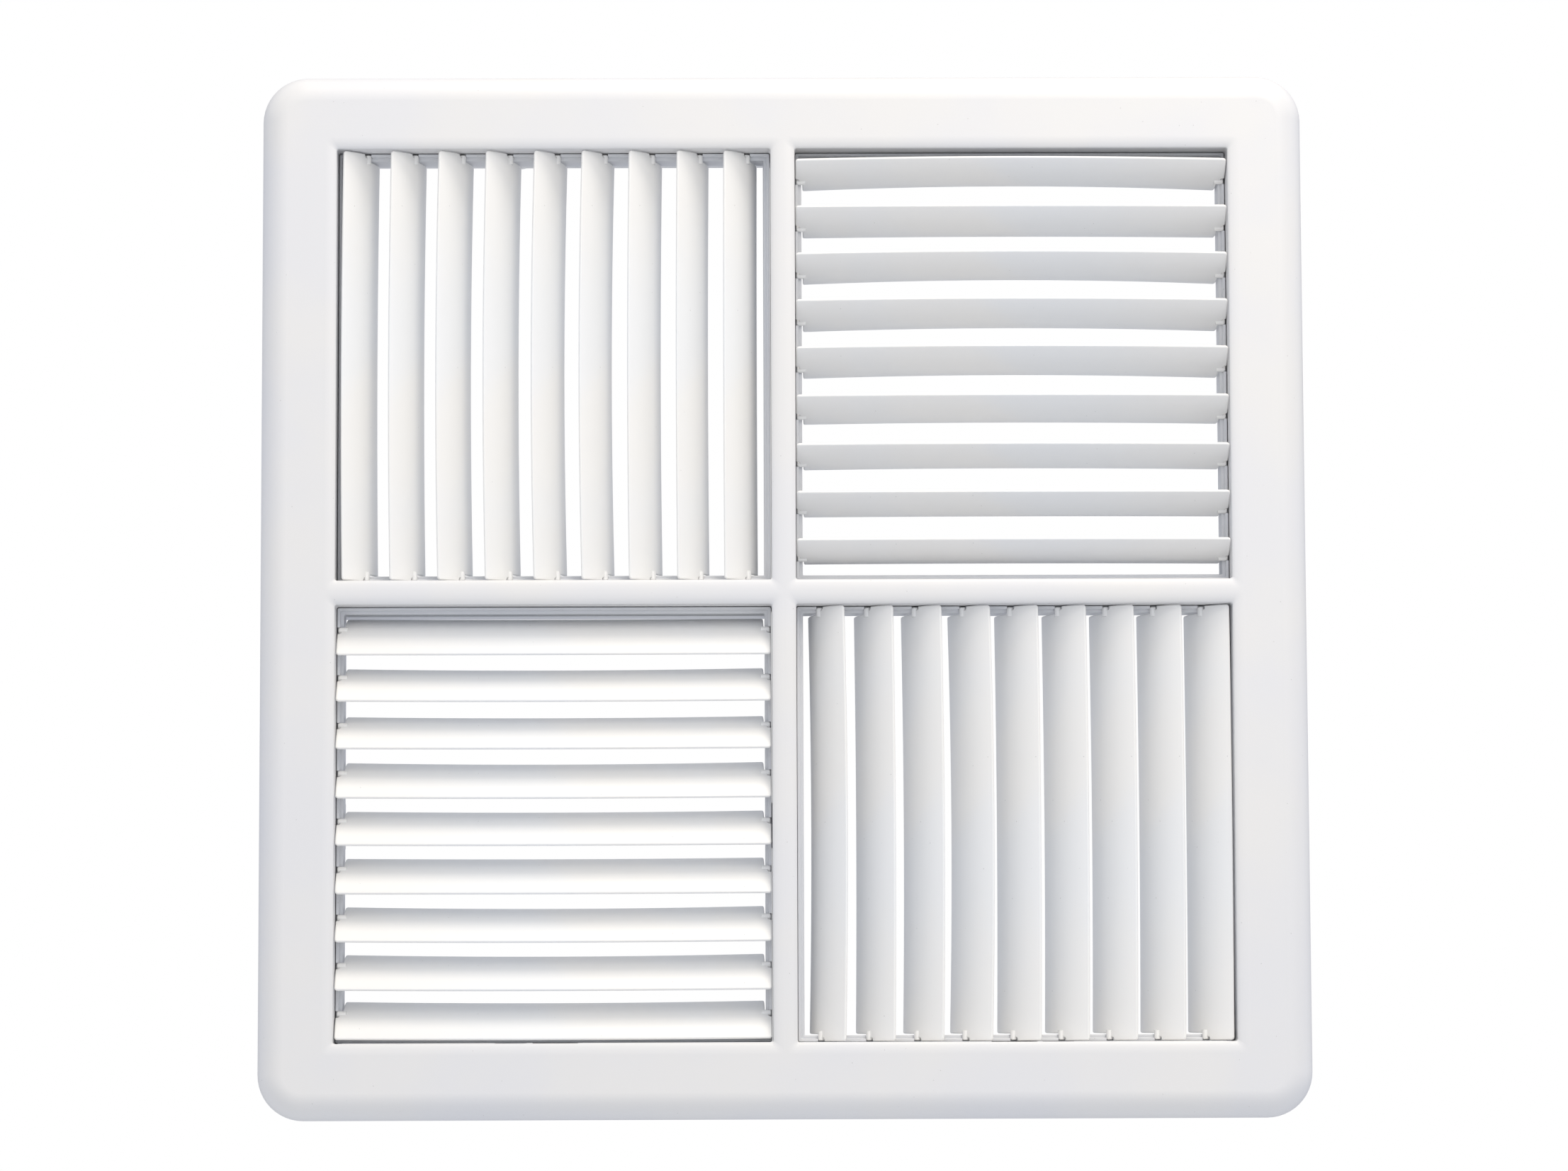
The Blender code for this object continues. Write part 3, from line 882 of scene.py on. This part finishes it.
@dataclass
class BladeBlank:
    """A straight curved blade with rounded edges, stepped in behind its shoulders, and its pins."""

    arc_radius: float = 28 * MM
    arc_half_angle: float = radians(30)
    thickness: float = 1.5 * MM
    edge: float = 0.65 * MM
    edge_steps: int = 6
    wide_half: float = 95.2 * MM
    step_half: float = 93.7 * MM
    narrow_half: float = 92.1 * MM
    rear_half: float = 91.8 * MM
    front_shoulder: float = 3.0 * MM
    step_start: float = 2.4 * MM
    rear_shoulder: float = -0.6 * MM
    rear_start: float = -1.8 * MM
    front_round: float = 1.3 * MM
    shoulder_round: float = 0.3 * MM
    step_round: float = 0.5 * MM
    rear_round: float = 1.0 * MM
    round_steps: int = 6
    pin_radius: float = 1.5 * MM
    pin_end: float = 94.8 * MM
    pin_chamfer: float = 0.35 * MM
    pin_steps: int = 20
    strips: int = 16
    bays: int = 10
    end_bay: float = 1.2 * MM

    @property
    def reach(self) -> float:
        """The arc length from the pin to either long edge."""
        return self.arc_radius * self.arc_half_angle

    def outline(self) -> list[Vector]:
        """The flat blade's outline as (arc length from the pin, place on its length)."""
        half = [(self.reach, self.wide_half, self.front_round),
                (self.front_shoulder, self.wide_half, self.shoulder_round),
                (self.step_start, self.step_half, self.shoulder_round),
                (self.rear_shoulder, self.step_half, self.step_round),
                (self.rear_start, self.narrow_half, self.step_round),
                (-self.reach, self.rear_half, self.rear_round)]
        mirrored = [(x, -y, radius) for x, y, radius in reversed(half)]
        return filleted(half + mirrored, self.round_steps)

    def flat(self) -> bmesh.types.BMesh:
        """The blade laid flat, with rounded edges all round, cut into strips and bays."""
        work = bmesh.new()
        outline = self.outline()
        count = len(outline)
        inward = []
        for number in range(count):
            along = (outline[(number + 1) % count] - outline[number - 1]).normalized()
            inward.append(Vector((-along.y, along.x)))
        area = sum(outline[n - 1].x * outline[n].y - outline[n].x * outline[n - 1].y
                   for n in range(count))
        sense = 1 if area > 0 else -1
        rings = []
        for step in range(-self.edge_steps, self.edge_steps + 1):
            turn = step * pi / 2 / self.edge_steps
            inset = self.edge * (1 - cos(turn)) * sense
            rings.append([work.verts.new((here.x + normal.x * inset, here.y + normal.y * inset,
                                          self.thickness / 2 * sin(turn)))
                          for here, normal in zip(outline, inward)])
        loft(work, rings)
        cuts = [(((2 * n / self.strips - 1) * self.reach, 0, 0), (1, 0, 0))
                for n in range(1, self.strips)]
        cuts += [((0, (2 * n / self.bays - 1) * self.rear_half, 0), (0, 1, 0))
                 for n in range(1, self.bays)]
        cuts += [((0, end * (self.rear_half - self.end_bay), 0), (0, 1, 0)) for end in (-1, 1)]
        for point, normal in cuts:
            bmesh.ops.bisect_plane(work, geom=[*work.verts, *work.edges, *work.faces],
                                   dist=SAME_POINT, plane_co=point, plane_no=normal)
        return work

    def mesh(self) -> bpy.types.Mesh:
        """Return the blade rolled to its arc, lying level, with its pins along Y."""
        work = self.flat()
        for vertex in work.verts:
            angle = vertex.co.x / self.arc_radius
            radius = self.arc_radius + vertex.co.z
            vertex.co = Vector((-radius * sin(angle), vertex.co.y,
                                self.arc_radius - radius * cos(angle)))
        carving = Carving(finish_mesh("blade", work))
        root = self.rear_half - OVERLAP
        pins = []
        for end in (-1, 1):
            pin = turned_mesh(((0, root), (self.pin_radius, root),
                               (self.pin_radius, self.pin_end - self.pin_chamfer),
                               (self.pin_radius - self.pin_chamfer, self.pin_end),
                               (0, self.pin_end)), self.pin_steps)
            pin.transform(Matrix.Rotation(end * pi / 2, 4, "Z"))
            pins.append(pin)
        carving.carve(Carve.JOIN, pins)
        return carving.mesh


@dataclass
class Blade:
    """One blade as it is set in its core: tilted on its pins and slightly bowed along its length."""

    blank: BladeBlank
    core: Core
    number: int
    pin: Vector
    tilt: float
    bow: float
    front_share: float

    def build(self, master: bpy.types.Mesh, material: bpy.types.Material) -> bpy.types.Object:
        """Tilt, bow and show the blade.

        Args:
            master: The straight blade.
            material: Its finish.

        Returns:
            The piece.
        """
        mesh = master.copy()
        turned = Matrix.Rotation(-self.tilt, 3, "Y")
        for vertex in mesh.vertices:
            here = vertex.co
            along = atan2(-here.x, self.blank.arc_radius - here.z) * self.blank.arc_radius
            share = (along / self.blank.reach + 1) / 2
            amount = self.bow * (1 + (self.front_share - 1) * share)
            sag = max(1 - (here.y / self.blank.wide_half) ** 2, 0.0)
            vertex.co = turned @ here - Vector((amount * sag, 0, 0))
        name = f"{self.core.label}_blade_{self.number}"
        return show(name, mesh, material, name,
                    Matrix.Translation(self.pin) @ self.core.turn)


@dataclass
class BladeBank:
    """The nine blades of one core, from the side the air is thrown to.

    Each bow is in millimetres at the middle of the blade's rear edge, and the front edge bows by
    the front share of it. The open tilt is in degrees from the ceiling, at the joints' upper end.
    """

    core: Core
    bows: Sequence[float]
    front_share: float
    open_tilt: float = 80.0

    def joints(self) -> list[dict[str, Any]]:
        """Return the record's tilt joints of this core, in order."""
        found = {joint["name"]: joint for joint in frame["joints"]}
        return [found[f"{self.core.label}_blade_{number}_tilt"]
                for number in range(1, len(self.bows) + 1)]

    def pin_places(self, offset: float) -> list[float]:
        """Return where the pins sit across the core, in its own coordinates.

        Args:
            offset: How far the core's centre is from the part's, along X and along Y.

        Returns:
            The places along the core's own X axis.
        """
        back = (Matrix.Translation(self.core.centre(offset)) @ self.core.turn).inverted()
        return [(back @ Vector(joint["pos_m"])).x for joint in self.joints()]

    def blades(self, blank: BladeBlank) -> list[Blade]:
        """Return the nine blades, each with its own tilt and bow."""
        return [Blade(blank, self.core, number, Vector(joint["pos_m"]),
                      radians(self.open_tilt - joint["range_deg"][1]), bow * MM,
                      self.front_share)
                for number, (joint, bow) in enumerate(zip(self.joints(), self.bows), 1)]


@dataclass
class CollarScrew:
    """A countersunk cross-recessed screw with a rolled thread, out through the collar."""

    head_radius: float = 4 * MM
    crest: float = 1.9 * MM
    root: float = 1.45 * MM
    head_height: float = 2.2 * MM
    land: float = 0.25 * MM
    shank_end: float = 4.2 * MM
    thread_end: float = 13.2 * MM
    length: float = 15.7 * MM
    pitch: float = 1.4 * MM
    around: int = 28
    per_pitch: int = 10
    recess_reach: float = 2.1 * MM
    recess_half: float = 0.55 * MM
    recess_depth: float = 1.5 * MM
    recess_mouth: float = 1.25
    recess_floor: float = 0.55
    head_top: float = 0.94
    tip_radius: float = 0.12 * MM

    def radius(self, along: float, turn: float) -> float:
        """Return the radius of the screw at one place.

        Args:
            along: Distance from the top of the head.
            turn: The angle round the axis.

        Returns:
            The radius there.
        """
        neck = self.head_height
        if along <= self.land:
            return self.head_radius
        if along <= neck:
            share = (along - self.land) / (neck - self.land)
            return self.head_radius + (self.crest - self.head_radius) * share
        if along <= self.shank_end:
            return self.crest
        phase = (along / self.pitch - turn / tau) % 1
        ridge = max(1 - abs(phase - 0.5) * 4, 0.0)
        body = self.root + (self.crest - self.root) * ridge
        if along <= self.thread_end:
            lead = min((along - self.shank_end) / self.pitch, 1.0)
            return self.crest + (body - self.crest) * lead
        share = (along - self.thread_end) / (self.length - self.thread_end)
        return body * (1 - share) + self.tip_radius * share

    def mesh(self) -> bpy.types.Mesh:
        """Return the screw along X, with the top of its head at 0."""
        work = bmesh.new()
        threads = round((self.length - self.shank_end) / self.pitch * self.per_pitch)
        levels = [0.0, self.land, self.head_height]
        levels += [self.shank_end + n * (self.length - self.shank_end) / threads
                   for n in range(threads + 1)]
        turns = [tau * step / self.around for step in range(self.around)]
        rings = [[work.verts.new((along, self.radius(along, turn) * cos(turn),
                                  self.radius(along, turn) * sin(turn))) for turn in turns]
                 for along in levels]
        for vertex in rings[0]:
            vertex.co.y *= self.head_top
            vertex.co.z *= self.head_top
        loft(work, rings)
        carving = Carving(finish_mesh("collar_screw", work))
        arms = []
        for half_y, half_z in ((self.recess_reach, self.recess_half),
                               (self.recess_half, self.recess_reach)):
            arm = bmesh.new()
            sides = []
            for depth, share in ((-OVERLAP, self.recess_mouth),
                                 (self.recess_depth, self.recess_floor)):
                y = half_y * share if half_y > half_z else half_y
                z = half_z * share if half_z > half_y else half_z
                sides.append([arm.verts.new((depth, *corner))
                              for corner in ((y, z), (-y, z), (-y, -z), (y, -z))])
            loft(arm, sides)
            arms.append(finish_mesh("recess_arm", arm))
        carving.carve(Carve.CUT, arms)
        return carving.mesh

    def place(self, node: str, pad_inside: float) -> Matrix:
        """Return a screw's placing from its CAD node: its X axis out through the collar.

        Args:
            node: The screw's node.
            pad_inside: How far the pad's face is from the part's middle.

        Returns:
            The placing of the pad's face, on the screw's axis.
        """
        low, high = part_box(node)
        middle = (low + high) / 2
        quarter = 1 if middle.y > 0 else 3
        spread = -middle.x if quarter == 1 else middle.x
        return (Matrix.Rotation(quarter * pi / 2, 4, "Z")
                @ Matrix.Translation((pad_inside, spread, middle.z)))

    def build(self, node: str, mesh: bpy.types.Mesh, material: bpy.types.Material,
              place: Matrix, sunk: float) -> bpy.types.Object:
        """Show one screw with its head just under the pad's face.

        Args:
            node: The CAD node that it replaces.
            mesh: The screw's mesh.
            material: Its finish.
            place: The placing of the pad's face.
            sunk: How far under the pad's face the head lies.

        Returns:
            The piece.
        """
        return show(node, mesh.copy(), material, "frame",
                    place @ Matrix.Translation((sunk, 0, 0)))


@dataclass
class CeilingSeal:
    """The square foam strip round the collar, cut to length and butted at one side."""

    inner: float = 199.7 * MM
    outer: float = 212.5 * MM
    corner: float = 4 * MM
    low: float = -2.7 * MM
    rounding: float = 0.7 * MM
    cut_round: float = 0.3 * MM
    round_steps: int = 4
    corner_steps: int = 5
    wave: float = 0.25 * MM
    wave_gain: float = 2
    wave_length: float = 45 * MM
    rounding_margin: float = 1.01
    bays: int = 24

    def build(self, material: bpy.types.Material) -> bpy.types.Object:
        """Show the strip, with the slight waves of a strip laid by hand."""
        section = filleted([(self.outer, self.low, self.cut_round), (self.outer, 0, self.rounding),
                            (self.inner, 0, self.rounding),
                            (self.inner, self.low, self.cut_round)], self.round_steps)
        work = bmesh.new()
        loft(work, [rounded_square(work, point.x, self.corner, point.y, self.corner_steps)
                    for point in section], closed=True)
        for number in range(1, self.bays):
            place = (2 * number / self.bays - 1) * self.inner
            for normal in ((1, 0, 0), (0, 1, 0)):
                bmesh.ops.bisect_plane(work, geom=[*work.verts, *work.edges, *work.faces],
                                       dist=SAME_POINT, plane_co=Vector(normal) * place,
                                       plane_no=normal)
        for vertex in work.verts:
            if vertex.co.z > -self.rounding * self.rounding_margin:
                lift = noise.noise(vertex.co / self.wave_length)
                vertex.co.z -= self.wave * min(abs(lift) * self.wave_gain, 1)
        return show("ceiling_seal", finish_mesh("ceiling_seal", work), material, "frame",
                    Matrix.Identity(4))


@dataclass(frozen=True)
class Lamp:
    """One soft square lamp, aimed at the middle of the face and kept out of the picture."""

    name: str
    place: tuple[float, float, float]
    width: float
    power: float
    colour: str

    def build(self) -> bpy.types.Object:
        """Hang the lamp."""
        data = bpy.data.lights.new(self.name, "AREA")
        data.shape = "SQUARE"
        data.size = self.width
        data.energy = self.power
        data.color = linear(self.colour)[:3]
        lamp = bpy.data.objects.new(self.name, data)
        bpy.context.scene.collection.objects.link(lamp)
        aim = (-Vector(self.place)).to_track_quat("-Z", "Y")
        lamp.matrix_world = Matrix.Translation(self.place) @ aim.to_matrix().to_4x4()
        lamp.visible_camera = False
        return lamp


@dataclass
class Studio:
    """The pale room: camera, world light, soft lamps and floor. Angles are in degrees."""

    pitch: float = -5.52
    yaw: float = -0.58
    roll: float = -0.154
    across: float = -0.128 * MM
    down: float = 3.822 * MM
    distance: float = 2.2
    lens: float = 114.65
    sensor: float = 36.0
    clip_start: float = 0.05
    clip_end: float = 60.0
    backdrop: str = "#ffffff"
    shade_light: str = "#f3f6ff"
    room_light: float = 0.98
    duct_light: float = 0.56
    duct_heights: tuple[float, float] = (0.3, 0.85)
    floor_z: float = -2.7
    floor_half: float = 32.0
    floor_tints: tuple[str, str] = ("#efefee", "#f3f3f2")
    floor_mottle: float = 1.5
    floor_roughness: float = 0.9
    lamps: tuple[Lamp, ...] = (
        Lamp("key_lamp", (0.35, -1.9, -0.8), 0.9, 18.5, "#fff6e8"),
        Lamp("near_lamp", (0.45, -0.7, -0.95), 0.5, 3.0, "#fff6e8"),
        Lamp("soft_box", (0, 0, -2.6), 4.0, 22.5, "#fbfcff"),
    )

    def camera(self) -> bpy.types.Object:
        """Place the camera under the ceiling, almost square to the face."""
        turned = (Matrix.Rotation(radians(self.roll), 4, "Z")
                  @ Matrix.Rotation(radians(self.yaw), 4, "Y")
                  @ Matrix.Rotation(radians(self.pitch), 4, "X"))
        data = bpy.data.cameras.new("camera")
        data.lens = self.lens
        data.sensor_width = self.sensor
        data.clip_start = self.clip_start
        data.clip_end = self.clip_end
        camera = bpy.data.objects.new("camera", data)
        bpy.context.scene.collection.objects.link(camera)
        offset = Matrix.Translation((-self.across, -self.down, -self.distance))
        camera.matrix_world = turned.inverted() @ offset @ Matrix.Diagonal((1, -1, -1, 1))
        bpy.context.scene.camera = camera
        return camera

    def room(self) -> None:
        """A room that is white to look at, lights the part a little less, and least from above."""
        world = bpy.data.worlds.new("room")
        world.use_nodes = True
        tree = world.node_tree
        background = tree.nodes["Background"]
        path = add_node(tree, "ShaderNodeLightPath")
        sky = add_node(tree, "ShaderNodeTexCoord")
        heading = add_node(tree, "ShaderNodeSeparateXYZ", {}, {"Vector": sky.outputs["Generated"]})
        shade = add_node(tree, "ShaderNodeMapRange",
                         {"From Min": self.duct_heights[0], "From Max": self.duct_heights[1],
                          "To Min": self.room_light, "To Max": self.duct_light},
                         {"Value": heading.outputs["Z"]})
        level = add_node(tree, "ShaderNodeMapRange", {"To Max": 1.0},
                         {"Value": path.outputs["Is Camera Ray"],
                          "To Min": shade.outputs["Result"]})
        colour = add_node(tree, "ShaderNodeMix",
                          {6: linear(self.shade_light), 7: linear(self.backdrop)},
                          {0: path.outputs["Is Camera Ray"]}, data_type="RGBA")
        tree.links.new(level.outputs["Result"], background.inputs["Strength"])
        tree.links.new(colour.outputs[2], background.inputs["Color"])
        bpy.context.scene.world = world

    def floor(self) -> bpy.types.Object:
        """A plain pale floor, well below the ceiling."""
        half = self.floor_half
        work = bmesh.new()
        work.faces.new([work.verts.new((x, y, self.floor_z))
                        for x, y in ((-half, -half), (half, -half), (half, half), (-half, half))])
        mesh = bpy.data.meshes.new("floor")
        work.to_mesh(mesh)
        work.free()
        material, shader, place = blank_material("matt_floor_paint")
        tree = material.node_tree
        mottle = add_node(tree, "ShaderNodeTexNoise", {"Scale": self.floor_mottle},
                          {"Vector": place})
        tint = add_node(tree, "ShaderNodeMix",
                        {6: linear(self.floor_tints[0]), 7: linear(self.floor_tints[1])},
                        {0: mottle.outputs["Fac"]}, data_type="RGBA")
        tree.links.new(tint.outputs[2], shader.inputs["Base Color"])
        shader.inputs["Roughness"].default_value = self.floor_roughness
        mesh.materials.append(material)
        floor = bpy.data.objects.new("floor", mesh)
        bpy.context.scene.collection.objects.link(floor)
        return floor

    def build(self) -> None:
        """Make the whole studio."""
        scene = bpy.context.scene
        scene.view_settings.view_transform = "Standard"
        scene.view_settings.look = "None"
        self.camera()
        self.room()
        self.floor()
        for lamp in self.lamps:
            lamp.build()
        log.info("studio: %d lamps", len(self.lamps))


def main() -> None:
    logging.basicConfig(level=logging.INFO, format="%(name)s: %(message)s")
    size = Envelope.from_frame()
    frame_abs = MouldedAbs("white_abs_frame_moulded", "#e6e5e3", "#e3e3e4").build()
    core_abs = MouldedAbs("white_abs_core_moulded", "#f2f1ee", "#eff0f0", roughness=0.4).build()
    # The rings are the same white ABS, drawn greyer and bluer: painted shade for the pockets they
    # sit in, under the bars.
    ring_abs_painted_shade = MouldedAbs("white_abs_ring_painted_shade", "#dadbdd", "#d6d8dc", roughness=0.45).build()
    zinc = ZincPlate().build()
    foam = ClosedCellFoam().build()

    screw = CollarScrew()
    face = FaceFrame(size)
    screws = sorted(name for name in frame["nodes"] if name.startswith("collar_screw_"))
    pad_inside = size.collar_inner - face.pad_proud
    places = {name: screw.place(name, pad_inside) for name in screws}
    face.build(frame_abs, list(places.values()))

    banks = (
        BladeBank(Core.FRONT_LEFT, (0.7, 0.9, 1.15, 1.2, 1.35, 1.3, 0.75, 0.5, 0.25), 1.0),
        BladeBank(Core.FRONT_RIGHT, (2.2, 0.65, 2.1, 1.7, 1.6, 0.85, 0.8, 0.3, 0.35), 0.5),
        BladeBank(Core.BACK_RIGHT, (0.3, 0.5, 0.6, 0.6, 0.6, 1.3, 0.85, 0.6, 1.1), 1.0),
        BladeBank(Core.BACK_LEFT, (0.9, 1.05, 1.1, 0.5, 0.7, 1.0, 0.8, 0.9, 0.3), 0.4),
    )
    blank = BladeBlank()
    master = blank.mesh()
    for bank in banks:
        CoreFrame(size, bank.core, bank.pin_places(size.core_offset)).build(ring_abs_painted_shade)
        for blade in bank.blades(blank):
            blade.build(master, core_abs)

    screw_mesh = screw.mesh()
    for name, place in places.items():
        screw.build(name, screw_mesh, zinc, place, size.gap)
    CeilingSeal().build(foam)
    Studio().build()


if __name__ == "__main__":
    main()
